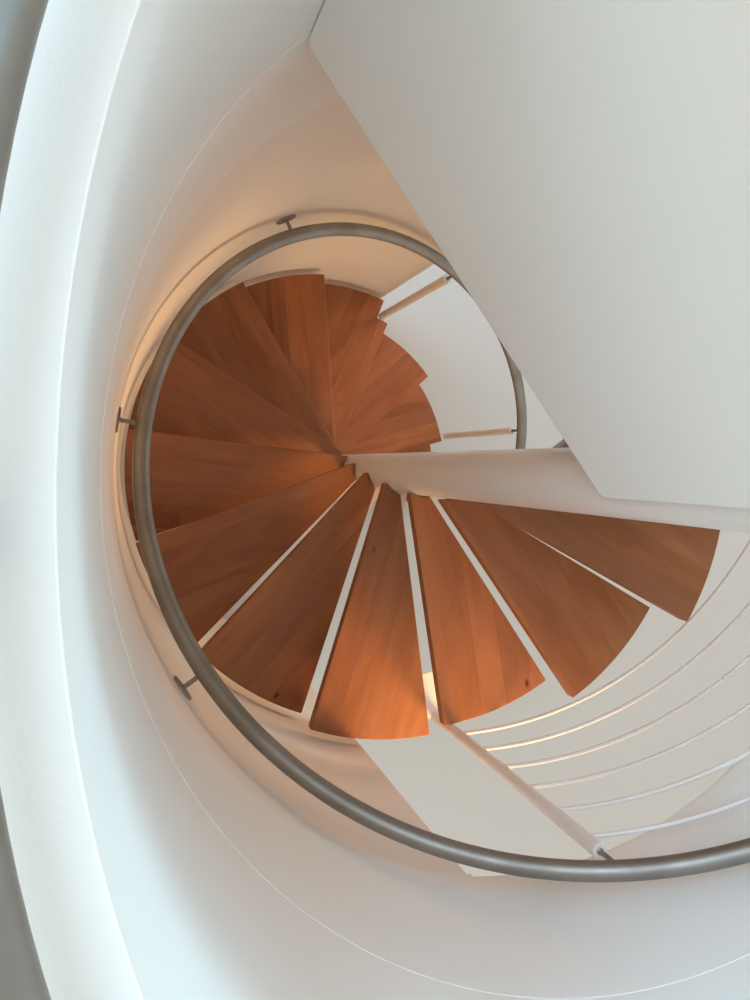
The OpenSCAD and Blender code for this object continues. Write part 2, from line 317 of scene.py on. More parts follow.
@dataclass(frozen=True)
class LaminatedWood:
    """Varnished wood glued up from staves that run along the nosing.

    The mesh attribute "grain" holds, in metres, the place along the staves, across them and
    up through the board.
    """

    pale: Triple = (0.40, 0.167, 0.066)
    middle: Triple = (0.250, 0.091, 0.036)
    deep: Triple = (0.130, 0.040, 0.016)
    knot: Triple = (0.030, 0.010, 0.006)
    faded: Triple = (0.290, 0.132, 0.072)
    stave_width: float = 0.086
    stave_length: float = 2.4
    rows: int = 11
    glue_line: float = 0.0009
    figure_scale: Triple = (2.4, 11.0, 11.0)
    band_scale: Triple = (6.0, 60.0, 60.0)
    fibre_scale: Triple = (34.0, 520.0, 520.0)
    pore_scale: Triple = (16.0, 330.0, 330.0)
    knot_scale: Triple = (3.4, 7.5, 7.5)
    knot_core: float = 0.010
    knot_rim: float = 0.075
    knot_from: float = 0.45
    row_shift: float = 7.0
    stave_seed: float = 17.0
    other_seed: float = 31.0
    figure_share: float = 0.66
    band_share: float = 0.20
    stave_share: float = 0.16
    piece_share: float = 0.12
    fibre_share: float = 0.05
    shade_drop: float = 0.10
    faded_share: float = 0.45
    pore_share: float = 0.18
    knot_share: float = 0.9
    glue_share: float = 0.6
    rough: float = 0.34
    relief: float = 0.00022

    def joint(self, place: Link, length: float) -> Link:
        """A mask that is 1 where two pieces meet and falls softly to 0 two glue lines away.

        It is 1 less the mapped distance to the nearest whole number of pieces.

        Args:
            place: the place, counted in pieces.
            length: length of a piece.

        Returns:
            The mask.
        """
        side = place.fraction()
        near = side.math("PINGPONG", side, 0.5)
        return 1.0 - near.clamp(0.0, self.glue_line / length * 2.0)

    def make(self) -> bpy.types.Material:
        """Builds the material: a tone per stave and per piece of it, stretched figure and knots.

        Returns:
            The material.
        """
        r = Recipe("laminated_wood")
        grain = r.attribute("grain")
        along, across, _ = r.axes(grain)
        stave = across / self.stave_width
        row = stave.floor()
        piece = along / self.stave_length + r.chance(row) * self.row_shift
        stave_tone = r.chance(row + self.stave_seed)
        piece_tone = r.chance(row, piece.floor())
        other_tone = r.chance(row + self.other_seed, piece.floor())
        offset = r.joined(piece_tone * 9.0, other_tone * 5.0, piece_tone * 3.0)
        moved = r.node("ShaderNodeVectorMath", {"operation": "ADD"}, {0: grain, 1: offset})
        figure = r.noise(r.scaled(moved, self.figure_scale), detail=4.0, twist=1.1)
        bands = r.noise(r.scaled(moved, self.band_scale), twist=0.9)
        fibre = r.noise(r.scaled(moved, self.fibre_scale), rough=0.6)
        pores = r.noise(r.scaled(moved, self.pore_scale), detail=2.0, rough=0.4)
        pore = pores.clamp(0.62, 0.74)
        shade = figure * self.figure_share + bands * self.band_share + stave_tone * self.stave_share
        shade = shade + piece_tone * self.piece_share + fibre * self.fibre_share - self.shade_drop
        settings = {"stops": [(0.10, self.deep), (0.46, self.middle), (0.86, self.pale)]}
        colour = r.node("ShaderNodeValToRGB", settings, {"Fac": shade})
        colour = r.mix(other_tone * self.faded_share, colour, self.faded)
        colour = r.mix(pore * self.pore_share, colour, self.deep)
        cells = {"Vector": r.scaled(moved, self.knot_scale), "Scale": 1.0}
        knots = r.node("ShaderNodeTexVoronoi", {"feature": "F1"}, cells)
        knot = (1.0 - knots.clamp(self.knot_core, self.knot_rim)) * (other_tone > self.knot_from)
        colour = r.mix(knot * self.knot_share, colour, self.knot)
        line = self.joint(stave, self.stave_width)
        joint = line.math("MAXIMUM", line, self.joint(piece, self.stave_length))
        colour = r.mix(joint * other_tone * self.glue_share, colour, self.deep)
        rough = self.rough + fibre * 0.10 + figure * 0.08 + pore * 0.06
        height = fibre * 0.5 + bands * 0.3 - pore * 0.5 - joint * 0.6
        return r.finish({
            "Base Color": colour, "Roughness": rough, "Specular IOR Level": 0.16,
            "Coat Weight": 0.05, "Coat Roughness": 0.2, "Normal": r.bump(height, self.relief)})


@dataclass(frozen=True)
class WallPaint:
    """Matt emulsion on smooth plaster, with roller texture and soft unevenness."""

    name: str
    colour: Triple = (0.775, 0.765, 0.73)
    dull: Triple = (0.64, 0.60, 0.56)
    rough: float = 0.62
    cloud_scale: float = 1.7
    roller_scale: float = 260.0
    trowel_scale: float = 3.5
    cloud_share: float = 0.12
    roller_share: float = 0.12
    relief: float = 0.0016

    def make(self) -> bpy.types.Material:
        """Builds the material: soft clouds in the colour, roller and trowel marks in the surface.

        Returns:
            The material.
        """
        r = Recipe(self.name)
        place = r.place()
        cloud = r.noise(place, self.cloud_scale).clamp(0.35, 0.70)
        colour = r.mix(cloud * self.cloud_share, self.colour, self.dull)
        roller = r.noise(place, self.roller_scale, rough=0.6)
        trowel = r.noise(place, self.trowel_scale, detail=2.0)
        return r.finish({
            "Base Color": colour, "Roughness": self.rough + roller * 0.08,
            "Normal": r.bump(roller * self.roller_share + trowel, self.relief)})


@dataclass(frozen=True)
class Lacquer:
    """Sprayed white lacquer with a faint orange peel."""

    name: str
    colour: Triple = (0.75, 0.735, 0.72)
    rough: float = 0.30
    peel: float = 190.0
    coat: float = 0.25
    cloud_scale: float = 4.0
    cloud_share: float = 0.10
    shade: float = 0.88
    relief: float = 0.00018

    def make(self) -> bpy.types.Material:
        """Builds the material: faint clouds in the colour and orange peel in the surface.

        Returns:
            The material.
        """
        r = Recipe(self.name)
        place = r.place()
        cloud = r.noise(place, self.cloud_scale).clamp(0.35, 0.7)
        shaded = tuple(self.shade * channel for channel in self.colour)
        colour = r.mix(cloud * self.cloud_share, self.colour, shaded)
        peel = r.noise(place, self.peel, detail=2.0)
        return r.finish({
            "Base Color": colour, "Roughness": self.rough + cloud * 0.07, "Coat Weight": self.coat,
            "Coat Roughness": 0.12, "Normal": r.bump(peel, self.relief)})


@dataclass(frozen=True)
class SatinMetal:
    """Satin ground stainless tube, its polishing lines running round the tube.

    The mesh attribute "run" holds the place along the tube, round it and a constant, in metres.
    """

    colour: Triple = (0.355, 0.332, 0.297)
    dark: Triple = (0.245, 0.225, 0.195)
    rough: float = 0.40
    ring_scale: Triple = (900.0, 26.0, 26.0)
    streak_scale: Triple = (3.0, 420.0, 420.0)
    cloud_scale: float = 6.0
    cloud_share: float = 0.55
    streak_share: float = 0.2
    relief: float = 0.00006

    def make(self) -> bpy.types.Material:
        """Builds the material: polishing rings, long streaks and soft clouds.

        Returns:
            The material.
        """
        r = Recipe("satin_metal")
        run = r.attribute("run")
        rings = r.noise(r.scaled(run, self.ring_scale), rough=0.6)
        streaks = r.noise(r.scaled(run, self.streak_scale), rough=0.6)
        cloud = r.noise(r.place(), self.cloud_scale, detail=4.0, rough=0.55).clamp(0.36, 0.68)
        colour = r.mix(cloud * self.cloud_share + streaks * self.streak_share, self.colour, self.dark)
        rough = self.rough + rings * 0.10 + cloud * 0.08
        return r.finish({
            "Base Color": colour, "Metallic": 1.0, "Roughness": rough,
            "Normal": r.bump(rings * 0.6 + streaks * 0.4, self.relief)})


@dataclass(frozen=True)
class Finishes:
    """Every material, made once."""

    wood: bpy.types.Material
    wall: bpy.types.Material
    parapet: bpy.types.Material
    panel: bpy.types.Material
    steel: bpy.types.Material
    satin: bpy.types.Material

    @classmethod
    def make(cls) -> "Finishes":
        """Builds all materials.

        Returns:
            The finishes.
        """
        parapet = WallPaint("parapet_paint", colour=(0.79, 0.81, 0.80), dull=(0.64, 0.66, 0.645))
        panel = Lacquer("panel_paint", colour=(0.80, 0.82, 0.815), rough=0.42, peel=120.0, coat=0.0)
        return cls(
            wood=LaminatedWood().make(),
            wall=WallPaint("wall_paint").make(),
            parapet=parapet.make(),
            panel=panel.make(),
            steel=Lacquer("white_lacquer").make(),
            satin=SatinMetal().make(),
        )

    def of(self, slot: Slot) -> bpy.types.Material:
        """The material of a slot.

        Args:
            slot: the record's material slot.

        Returns:
            Its material.
        """
        return {
            Slot.TREAD: self.wood, Slot.WALL: self.wall, Slot.PARAPET: self.parapet,
            Slot.PANEL: self.panel, Slot.STEEL: self.steel, Slot.SATIN: self.satin,
        }[slot]


def polar(radius: "float | np.ndarray", degrees: "float | np.ndarray") -> np.ndarray:
    """Plan points at a radius and direction.

    Args:
        radius: distance from the axis.
        degrees: direction.

    Returns:
        Points with x and y in the last axis.
    """
    angle = np.radians(degrees)
    return np.stack(np.broadcast_arrays(radius * np.cos(angle), radius * np.sin(angle)), -1)


def arc(radius: float, start: float, end: float, step: float = 1.5) -> np.ndarray:
    """Plan points on an arc about the axis, about a step apart, ends included."""
    count = max(2, math.ceil(abs(end - start) / step) + 1)
    return polar(radius, np.linspace(start, end, count))


def unit(vectors: np.ndarray) -> np.ndarray:
    """Vectors scaled to length 1."""
    return vectors / np.linalg.norm(vectors, axis=-1, keepdims=True)


def outward(path: np.ndarray) -> np.ndarray:
    """Level directions from the Z axis to the points of a path."""
    return np.concatenate([unit(path[:, :2]), np.zeros((len(path), 1))], -1)


def turned(points: np.ndarray, degrees: float) -> np.ndarray:
    """Points turned about the Z axis by a: x cos a - y sin a, x sin a + y cos a, z.

    Args:
        points: points with x, y and z in the last axis.
        degrees: the turn, anticlockwise.

    Returns:
        The turned points.
    """
    cos, sin = math.cos(math.radians(degrees)), math.sin(math.radians(degrees))
    x, y, z = np.moveaxis(points, -1, 0)
    return np.stack([x * cos - y * sin, x * sin + y * cos, z], -1)


def soften(outline: np.ndarray, radius: float, steps: int = 5, corner: float = 30.0) -> np.ndarray:
    """Rounds the corners of a closed outline with circular arcs.

    A corner that turns by w is replaced between the points that lie radius * tan(w / 2) before
    and after it, measured along the outline. With q where the tangents a and b meet there, and
    c the cosine of half their turn, the curve is
    ((1-t)^2 a + 2c t(1-t) q + t^2 b) / ((1-t)^2 + 2c t(1-t) + t^2).

    Args:
        outline: points in order, anticlockwise.
        radius: radius of the rounding.
        steps: pieces of each rounding.
        corner: least turn that counts as a corner.

    Returns:
        The rounded outline.
    """
    edges = np.roll(outline, -1, axis=0) - outline
    lengths = np.linalg.norm(edges, axis=1)
    ahead = edges / lengths[:, None]
    turns = np.arccos(np.clip(np.sum(np.roll(ahead, 1, axis=0) * ahead, -1), -1.0, 1.0))
    places = np.concatenate([[0.0], np.cumsum(lengths)])
    total = places[-1]
    closed = np.concatenate([outline, outline[:1]])
    corners = np.flatnonzero(turns > math.radians(corner))
    reach = radius * np.tan(turns[corners] / 2)
    apart = np.abs(places[:-1, None] - places[None, corners])
    kept = np.all(np.minimum(apart, total - apart) > 1.2 * reach, axis=1)
    points, order = [outline[kept]], [places[:-1][kept]]
    t = np.linspace(0.0, 1.0, steps + 1)
    for middle, distance in zip(places[corners], reach):
        ends = np.array([middle - distance, middle + distance]) % total
        a, b = np.stack([np.interp(ends, places, closed[:, k]) for k in (0, 1)], -1)
        into, out = ahead[np.searchsorted(places, ends, "right") - 1]
        run = np.linalg.solve(np.stack([into, out], -1), b - a)[0]
        weight = 2 * math.cos(0.5 * math.acos(float(np.clip(into @ out, -1.0, 1.0)))) * t * (1 - t)
        share = np.stack([(1 - t) ** 2, weight, t ** 2]) / ((1 - t) ** 2 + weight + t ** 2)
        points.append(share.T @ np.stack([a, a + run * into, b]))
        order.append((middle - distance + 2 * distance * t) % total)
    return np.concatenate(points)[np.argsort(np.concatenate(order), kind="stable")]


def inset(outline: np.ndarray, distance: float) -> np.ndarray:
    """Moves a closed outline inwards, each corner along the sum of its two sides' normals.

    The sum is divided by 1 plus the cosine of the turn, so that both sides move by the distance.

    Args:
        outline: points in order, anticlockwise.
        distance: how far the sides move.

    Returns:
        The smaller outline.
    """
    edge = unit(np.roll(outline, -1, axis=0) - outline)
    normal = np.stack([-edge[:, 1], edge[:, 0]], -1)
    before = np.roll(normal, 1, axis=0)
    scale = 1.0 + np.sum(before * normal, -1, keepdims=True)
    return outline + distance * (before + normal) / np.maximum(scale, 0.3)


class Solid:
    """Closed surfaces gathered into one mesh, each from whole numpy arrays."""

    def __init__(self, mark: str | None = None) -> None:
        """Starts an empty mesh.

        Args:
            mark: name of the vector attribute that the points carry.
        """
        self.mark = mark
        self.points: list[np.ndarray] = []
        self.marks: list[np.ndarray] = []
        self.loops: list[np.ndarray] = []
        self.sizes: list[np.ndarray] = []
        self.count = 0

    def add(self, rings: np.ndarray, marks: np.ndarray | None = None) -> None:
        """Adds the surface through a stack of closed rings, with flat ends.

        Args:
            rings: points, shaped (rings, points in a ring, 3).
            marks: attribute values of the same shape, the points themselves by default.
        """
        k, n, _ = rings.shape
        i = np.arange(k - 1)[:, None]
        j = np.arange(n)[None, :]
        here, there = i * n, (i + 1) * n
        quads = np.stack([here + j, here + (j + 1) % n, there + (j + 1) % n, there + j], -1).reshape(-1, 4)
        caps = [np.arange(n)[::-1], (k - 1) * n + np.arange(n)]
        flat = rings.reshape(-1, 3)
        centred = flat - flat.mean(0)
        fans = [np.stack([np.full(n - 2, cap[0]), cap[1:-1], cap[2:]], -1) for cap in caps]
        triangles = np.concatenate([quads[:, [0, 1, 2]], quads[:, [0, 2, 3]], *fans])
        a, b, c = (centred[triangles[:, q]] for q in range(3))
        if np.einsum("ij,ij->i", a, np.cross(b, c)).sum() < 0:
            quads = quads[:, ::-1]
            caps = [cap[::-1] for cap in caps]
        self.points.append(flat)
        self.marks.append(flat if marks is None else marks.reshape(-1, 3))
        self.loops += [(quads + self.count).ravel(), *(cap + self.count for cap in caps)]
        self.sizes += [np.full(len(quads), 4), *(np.array([n]) for _ in caps)]
        self.count += len(flat)

    def make(self, name: str) -> bpy.types.Object:
        """Puts the arrays into a mesh object at the origin.

        Args:
            name: the piece's name.

        Returns:
            The object.
        """
        loops, sizes = np.concatenate(self.loops), np.concatenate(self.sizes)
        mesh = bpy.data.meshes.new(name)
        mesh.vertices.add(self.count)
        mesh.vertices.foreach_set("co", np.concatenate(self.points).ravel())
        mesh.loops.add(len(loops))
        mesh.loops.foreach_set("vertex_index", loops.astype(np.int32))
        mesh.polygons.add(len(sizes))
        starts = np.concatenate([[0], np.cumsum(sizes)[:-1]])
        mesh.polygons.foreach_set("loop_start", starts.astype(np.int32))
        mesh.polygons.foreach_set("use_smooth", np.ones(len(sizes), bool))
        mesh.update(calc_edges=True)
        mesh.set_sharp_from_angle(angle=math.radians(SHARP_ANGLE))
        if self.mark:
            layer = mesh.attributes.new(self.mark, "FLOAT_VECTOR", "POINT")
            layer.data.foreach_set("vector", np.concatenate(self.marks).ravel().astype(np.float32))
        made = bpy.data.objects.new(name, mesh)
        bpy.context.scene.collection.objects.link(made)
        return made


def profile(low: float, high: float, round_low: float, round_high: float,
            steps: int = 4) -> tuple[np.ndarray, np.ndarray]:
    """Insets and heights up the side of a slab whose edges are rounded by quarter circles.

    Args:
        low: height of the underside.
        high: height of the top.
        round_low: radius of the lower edge, or 0.
        round_high: radius of the upper edge, or 0.
        steps: pieces of each quarter circle.

    Returns:
        Insets and heights, from the underside to the top.
    """
    turn = np.linspace(0.0, math.pi / 2, steps + 1)
    insets, heights = [], []
    for radius, edge, way in ((round_low, low, 1.0), (round_high, high, -1.0)):
        if radius > 0:
            side = np.concatenate([[1.15 * radius], radius * (1 - np.sin(turn)), [0.0]])
            level = np.concatenate([[0.0], radius * (1 - np.cos(turn)), [1.5 * radius]])
        else:
            side, level = np.zeros(1), np.zeros(1)
        order = slice(None) if way > 0 else slice(None, None, -1)
        insets.append(side[order])
        heights.append((edge + way * level)[order])
    return np.concatenate(insets), np.concatenate(heights)


def slab_rings(outline: np.ndarray, low: float, high: float, round_low: float = 0.0,
               round_high: float = 0.0) -> np.ndarray:
    """Rings of a flat body: its outline, moved in round each edge by a quarter circle.

    Args:
        outline: its plan, anticlockwise.
        low: height of its underside.
        high: height of its top.
        round_low: radius of the lower edge, or 0.
        round_high: radius of the upper edge, or 0.

    Returns:
        The rings, from the underside to the top.
    """
    insets, heights = profile(low, high, round_low, round_high)
    plans = np.stack([inset(outline, float(d)) for d in insets])
    levels = np.broadcast_to(heights[:, None, None], (*plans.shape[:2], 1))
    return np.concatenate([plans, levels], -1)


def spun(at: np.ndarray, axis: np.ndarray, steps: np.ndarray, radii: "np.ndarray | float",
         sides: int) -> tuple[np.ndarray, np.ndarray]:
    """Rings of a body turned about a straight axis, and their run: length, girth and radius.

    A point is at + step * axis + radius * (first * cos t + second * sin t), where first and
    second are square to the axis.

    Args:
        at: point from which the steps are measured.
        axis: direction of the axis.
        steps: distance of each ring along the axis.
        radii: radius of each ring.
        sides: points in a ring.

    Returns:
        The rings and the values of their "run" attribute.
    """
    axis = unit(np.asarray(axis, float))
    hint = np.eye(3)[np.argmin(np.abs(axis))]
    first = unit(hint - hint @ axis * axis)
    second = np.cross(axis, first)
    turn = np.arange(sides) * 2 * math.pi / sides
    around = np.cos(turn)[:, None] * first + np.sin(turn)[:, None] * second
    radii = np.broadcast_to(radii, np.shape(steps))
    rings = np.asarray(at) + np.asarray(steps)[:, None, None] * axis + radii[:, None, None] * around
    girth = np.abs(turn - math.pi) * float(radii.max())
    run = np.stack(np.broadcast_arrays(np.asarray(steps)[:, None], girth[None], float(radii.max())), -1)
    return rings, run


def upright(centre: np.ndarray, heights: np.ndarray, radii: "np.ndarray | float",
            sides: int) -> tuple[np.ndarray, np.ndarray]:
    """Rings and run of a body turned about a vertical axis through a plan point."""
    return spun(np.array([*centre, 0.0]), np.array([0.0, 0.0, 1.0]), heights, radii, sides)


def frames(path: np.ndarray, hint: np.ndarray) -> tuple[np.ndarray, np.ndarray]:
    """Two directions square to a path at each point, the first as near the hint as it can be.

    The first is the hint less its part along the path, and the second is the cross product of
    the path's direction and the first.

    Args:
        path: points, shaped (n, 3).
        hint: the direction wished for at each point.

    Returns:
        The first and the second directions.
    """
    ahead = unit(np.gradient(path, axis=0))
    first = unit(hint - np.sum(hint * ahead, -1, keepdims=True) * ahead)
    return first, np.cross(ahead, first)


def tube_rings(path: np.ndarray, radius: "float | np.ndarray", hint: np.ndarray,
               sides: int = 24) -> tuple[np.ndarray, np.ndarray]:
    """Rings of a round tube along a path, and their run: length, girth and radius.

    A point is the path's point + radius * (first * cos t + second * sin t), with the two
    directions of its frame.

    Args:
        path: points, shaped (n, 3).
        radius: one radius, or one for each point.
        hint: direction from which the girth is measured, one or one for each point.
        sides: points in a ring.

    Returns:
        The rings and the values of their "run" attribute.
    """
    first, second = frames(path, np.broadcast_to(hint, path.shape))
    turn = np.arange(sides) * 2 * math.pi / sides
    radii = np.broadcast_to(radius, len(path))[:, None, None]
    around = np.cos(turn)[None, :, None] * first[:, None] + np.sin(turn)[None, :, None] * second[:, None]
    length = np.concatenate([[0.0], np.cumsum(np.linalg.norm(np.diff(path, axis=0), axis=1))])
    girth = np.abs(turn - math.pi) * float(np.max(radii))
    run = np.stack(np.broadcast_arrays(length[:, None], girth[None], float(np.max(radii))), -1)
    return path[:, None] + radii * around, run


def with_chamfer(path: np.ndarray, radius: float, chamfer: float) -> tuple[np.ndarray, np.ndarray]:
    """A path and radii for a tube whose two ends are turned down by a small chamfer.

    Args:
        path: points, shaped (n, 3).
        radius: the tube's radius.
        chamfer: how far back and how far in each end is turned down.

    Returns:
        The path with its added points, and a radius for each point.
    """
    steps = np.array([0.0, 0.4, 0.75, 1.0])
    drop = np.array([1.0, 0.45, 0.12, 0.0])
    first, last = unit(path[1] - path[0]), unit(path[-1] - path[-2])
    head = path[0] + first * (chamfer * steps)[:, None]
    tail = path[-1] - last * (chamfer * steps[::-1])[:, None]
    whole = np.concatenate([head, path[1:-1], tail])
    radii = np.full(len(whole), radius)
    radii[:len(drop)] -= chamfer * drop
    radii[-len(drop):] -= chamfer * drop[::-1]
    return whole, radii


@dataclass(frozen=True)
class Storey:
    """The sizes that every part of the stair shares."""

    risers: int = 18
    riser: float = 0.190
    turn: float = 26.4
    first: float = -11.6
    column: float = 0.0665
    well: float = 0.907
    wall: float = 0.110
    wall_gap: float = 0.027
    rail_gap: float = 0.070
    end_gap: float = 0.049
    front: float = 0.054
    back: float = 0.023
    lean: float = 1.4
    rail_height: float = 0.878
    rail_tube: float = 0.022
    parapet_height: float = 0.812
    exit_from: float = 77.0
    exit_to: float = 129.0
    panel_dir: float = 126.5
    panel_back: float = 0.048
    tread: float = 0.038
    post_treads: tuple[int, ...] = (2, 4, 12, 16)
    post_turn: float = 1.4
    third_post_turn: float = 2.5

    @property
    def floor(self) -> float:
        """Height of the upper floor."""
        return self.risers * self.riser

    @property
    def rail_radius(self) -> float:
        """Radius of the handrail's helix."""
        return self.well - self.rail_gap

    @property
    def open_radius(self) -> float:
        """Radius of the treads on the open side."""
        return self.rail_radius - self.end_gap

    def tread_dir(self, number: int) -> float:
        """Direction of a tread's front edge."""
        return self.first + (number - 1) * self.turn

    def front_dir(self, number: int, radius: float) -> float:
        """Direction in which a tread's front edge crosses a circle about the axis."""
        return self.tread_dir(number) - math.degrees(math.asin(self.front / radius))

    def corner_dir(self, number: int) -> float:
        """Direction of a tread's front corner on the open side."""
        return self.front_dir(number, self.open_radius)

    def back_dir(self, number: int, radius: float) -> float:
        """Direction in which a tread's leaning back edge crosses a circle about the axis."""
        distance = self.back * math.cos(math.radians(self.lean))
        return self.tread_dir(number + 1) - self.lean - math.degrees(math.asin(distance / radius))

    def rail_level(self, degrees: "float | np.ndarray") -> "float | np.ndarray":
        """Height of the handrail's centre at a direction."""
        return self.riser + self.rail_height + (degrees - self.corner_dir(1)) / self.turn * self.riser

    def post_dir(self, index: int) -> float:
        """Direction of a post."""
        extra = self.third_post_turn if index == 2 else 0.0
        return self.corner_dir(self.post_treads[index]) + self.post_turn + extra

    def helix(self, start: float, end: float, drop: float = 0.0, step: float = 1.5) -> np.ndarray:
        """Points of a line that follows the handrail at a distance below it.

        The radius stays, and the height grows evenly with the direction.

        Args:
            start: direction of the first point.
            end: direction of the last point.
            drop: distance below the handrail's centre.
            step: largest turn from point to point.

        Returns:
            The points.
        """
        angles = np.linspace(start, end, max(2, math.ceil((end - start) / step) + 1))
        level = self.rail_level(angles) - drop
        return np.concatenate([polar(self.rail_radius, angles), level[:, None]], -1)


@dataclass
class Part:
    """Common work of every sub-assembly."""

    storey: Storey
    finishes: Finishes

    def dress(self, solid: Solid, name: str, slot: Slot, *nodes: str) -> None:
        """Makes a piece, gives it its finish and lets it stand for CAD nodes.

        Args:
            solid: its surfaces.
            name: the piece's name.
            slot: the record's material slot.
            nodes: CAD nodes that it stands for.
        """
        piece = solid.make(name)
        piece.data.materials.append(self.finishes.of(slot))
        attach(piece, BODY)
        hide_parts(*nodes)
        log.info("%s: %d faces", name, len(piece.data.polygons))


@dataclass
class Treads(Part):
    """The seventeen wedge treads and the landing."""

    beside_wall: tuple[int, ...] = (4, 5, 6, 7, 8, 9, 10, 11, 16, 17)
    cut_back: tuple[int, ...] = (4, 16)
    cut_turn: float = 4.2
    inner: float = 0.0705
    edge: float = 0.003
    plan_corner: float = 0.0037
    landing_gap: float = 0.0004
    hub_step: float = 6.0
    grain_shift: float = 3.7
    stave_shift: float = 0.37

    def outline(self, number: int) -> np.ndarray:
        """Plan of a tread: outer arc, back edge, inner arc and front edge.

        Args:
            number: the tread's number, counted from the lowest.

        Returns:
            The outline.
        """
        s = self.storey
        outer = s.well - s.wall_gap if number in self.beside_wall else s.open_radius
        last = s.back_dir(number, outer)
        if number in self.cut_back:
            widens = s.corner_dir(number) + self.cut_turn
            narrow = arc(s.open_radius, s.corner_dir(number), widens)
            rim = np.concatenate([narrow, arc(outer, widens, last)])
        else:
            rim = arc(outer, s.front_dir(number, outer), last)
        back, front = s.back_dir(number, self.inner), s.front_dir(number, self.inner)
        return soften(np.concatenate([rim, arc(self.inner, back, front, self.hub_step)]), self.plan_corner)

    def landing_outline(self) -> np.ndarray:
        """Plan of the landing, from its front edge round to the panel.

        Returns:
            The outline.
        """
        s = self.storey
        radii = np.array([s.well - self.landing_gap, self.inner])
        front = np.array([s.front_dir(s.risers, radius) for radius in radii]) - 360.0
        back = s.panel_dir + np.degrees(np.arcsin(s.panel_back / radii))
        rim = arc(radii[0], front[0], back[0])
        hub = arc(radii[1], back[1], front[1], self.hub_step)
        return soften(np.concatenate([rim, hub]), self.plan_corner)

    def board(self, outline: np.ndarray, top: float, direction: float, number: int) -> Solid:
        """A board with rounded edges, its grain along its front edge.

        Args:
            outline: its plan.
            top: height of its upper face.
            direction: direction of its front edge.
            number: sets its staves apart from the others'.

        Returns:
            The board.
        """
        rings = slab_rings(outline, top - self.storey.tread, top, self.edge, self.edge)
        first = (number * LaminatedWood.rows + number * self.stave_shift % 1.0) * LaminatedWood.stave_width
        shift = np.array([number * self.grain_shift, self.storey.front + first, -top])
        solid = Solid("grain")
        solid.add(rings, turned(rings, -direction) + shift)
        return solid

    def build(self) -> None:
        """Makes every tread and the landing."""
        s = self.storey
        for number in range(1, s.risers):
            board = self.board(self.outline(number), number * s.riser, s.tread_dir(number), number)
            self.dress(board, f"tread_board_{number:02d}", Slot.TREAD, f"tread_{number:02d}")
        direction = s.tread_dir(s.risers) - 360.0
        board = self.board(self.landing_outline(), s.floor, direction, s.risers)
        self.dress(board, "landing_board", Slot.TREAD, "landing")


@dataclass
class Column(Part):
    """The column tube, its cap and its foot plate with anchor bolts."""

    rise: float = 0.900
    cap: float = 0.006
    foot: float = 0.150
    foot_plate: float = 0.012
    anchors: int = 4
    anchor_circle: float = 0.120
    washer: float = 0.014
    washer_depth: float = 0.0025
    nut: float = 0.0105
    nut_height: float = 0.010
    bolt: float = 0.006
    bolt_end: float = 0.0065
    plate_edge: float = 0.0015
    washer_edge: float = 0.0006
    nut_edge: float = 0.0012
    bolt_edge: float = 0.0015
    seam: float = 0.004
    bead_up: tuple[float, ...] = (0.0, 0.3, 0.8, 1.3, 1.6)
    bead_out: tuple[float, ...] = (1.0, 1.05, 0.75, 0.25, 0.0)
    end_ring: float = 0.02
    low_ring: float = 0.1
    rings: int = 24
    rim: float = 0.004
    sides: int = 128

    def tube(self) -> None:
        """The tube, from the foot plate to its cap, with a weld bead at its foot."""
        radius, top = self.storey.column, self.storey.floor + self.rise
        bead = self.foot_plate + self.seam * np.array(self.bead_up)
        wide = radius + self.seam * np.array(self.bead_out)
        rings = np.linspace(self.low_ring, top - self.end_ring, self.rings)
        heights = np.concatenate([bead, [self.foot_plate + self.end_ring], rings, [top]])
        radii = np.concatenate([wide, np.full(len(heights) - len(wide), radius)])
        solid = Solid()
        solid.add(*upright((0.0, 0.0), heights, radii, self.sides))
        self.dress(solid, "column_tube", Slot.STEEL, "column")

    def top_cap(self) -> None:
        """The flat cap with a rounded rim."""
        radius, base, edge = self.storey.column, self.storey.floor + self.rise, self.rim
        turn = np.linspace(0.0, math.pi / 2, 6)
        radii = np.concatenate([[radius], radius - edge + edge * np.cos(turn), [radius - 3 * edge]])
        level = base + self.cap
        heights = np.concatenate([[base], level - edge + edge * np.sin(turn), [level]])
        solid = Solid()
        solid.add(*upright((0.0, 0.0), heights, radii, self.sides))
        self.dress(solid, "column_lid", Slot.STEEL, "column_cap")

    def plate(self) -> None:
        """The foot plate with its anchor bolts, washers and nuts."""
        solid = Solid()
        insets, heights = profile(0.0, self.foot_plate, 0.0, self.plate_edge)
        solid.add(*upright((0.0, 0.0), heights, self.foot - insets, self.sides))
        seat = self.foot_plate + self.washer_depth
        top = seat + self.nut_height
        for angle in (np.arange(self.anchors) + 0.5) * 360.0 / self.anchors:
            centre = polar(self.anchor_circle, angle)
            insets, heights = profile(self.foot_plate, seat, 0.0, self.washer_edge)
            solid.add(*upright(centre, heights, self.washer - insets, 32))
            nut = polar(self.nut, np.arange(6) * 60.0 + angle) + centre
            solid.add(slab_rings(nut, seat, top, 0.0, self.nut_edge))
            insets, heights = profile(top, top + self.bolt_end, 0.0, self.bolt_edge)
            solid.add(*upright(centre, heights, self.bolt - insets, 24))
        self.dress(solid, "foot_plate_bolted", Slot.STEEL, "foot_plate")

    def build(self) -> None:
        """Makes the column's three pieces."""
        self.tube()
        self.top_cap()
        self.plate()


